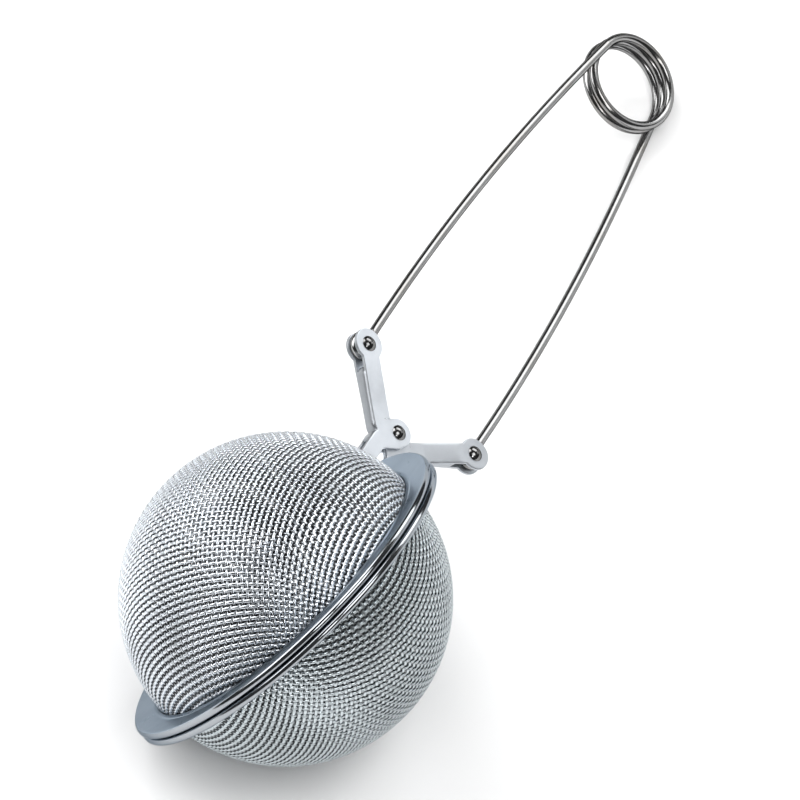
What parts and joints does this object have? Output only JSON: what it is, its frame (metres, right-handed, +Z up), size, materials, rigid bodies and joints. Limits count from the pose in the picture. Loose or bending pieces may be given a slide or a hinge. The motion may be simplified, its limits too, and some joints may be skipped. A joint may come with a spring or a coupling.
{
  "type": "tea infuser",
  "caption": "Snap-ball tea infuser: two woven-wire half balls with rolled rims on pivoted arms, opened by squeezing a sprung wire handle that ends in a coil.",
  "frame": {"origin": "on the table, under the middle of the infuser as it lies closed", "axes": "+Z up from the table, +X from the ball towards the handle's coil, +Y across, towards the side that the upper half opens to"},
  "size_m": [0.16, 0.05, 0.05],
  "materials": {
    "woven_wire": "bright drawn stainless wire, plain weave",
    "rim_steel": "smooth pressed stainless steel",
    "arm_steel": "tumbled bright stainless steel",
    "rivet_steel": "polished",
    "handle_wire": "polished spring wire"
  },
  "bodies": {
    "lower_half": {"lower_mesh": "woven_wire", "lower_rim": "rim_steel", "lower_arm": "arm_steel", "pivot_rivet": "rivet_steel", "lower_handle_rivet": "rivet_steel"},
    "upper_half": {"upper_mesh": "woven_wire", "upper_rim": "rim_steel", "upper_arm": "arm_steel", "upper_handle_rivet": "rivet_steel"},
    "lower_handle": {"lower_leg": "handle_wire", "handle_coil": "handle_wire"},
    "upper_handle": {"upper_leg": "handle_wire"}
  },
  "joints": [
    {"name": "jaw_hinge", "type": "hinge", "parent": "lower_half", "child": "upper_half", "pos_m": [-0.01187, 0, 0.01912], "axis": [-0.1241, 0.5674, -0.814], "range_deg": [0, 50], "stiffness_Nm_per_rad": 0.12, "springref_deg": -28.65},
    {"name": "lower_leg_hinge", "type": "hinge", "parent": "lower_half", "child": "lower_handle", "pos_m": [-0.00485, -0.00969, 0.0113], "axis": [-0.1241, 0.5674, -0.814], "range_deg": [0, 28.55]},
    {"name": "handle_flex", "type": "hinge", "parent": "lower_handle", "child": "upper_handle", "pos_m": [0.07216, 0, 0.00631], "axis": [0.1241, -0.5674, 0.814], "range_deg": [0, 6.8], "deforming": ["handle_coil"]}
  ],
  "couplings": [
    {"joint": "lower_leg_hinge", "follows": "jaw_hinge", "ratio": 0.565},
    {"joint": "handle_flex", "follows": "jaw_hinge", "ratio": 0.13}
  ]
}
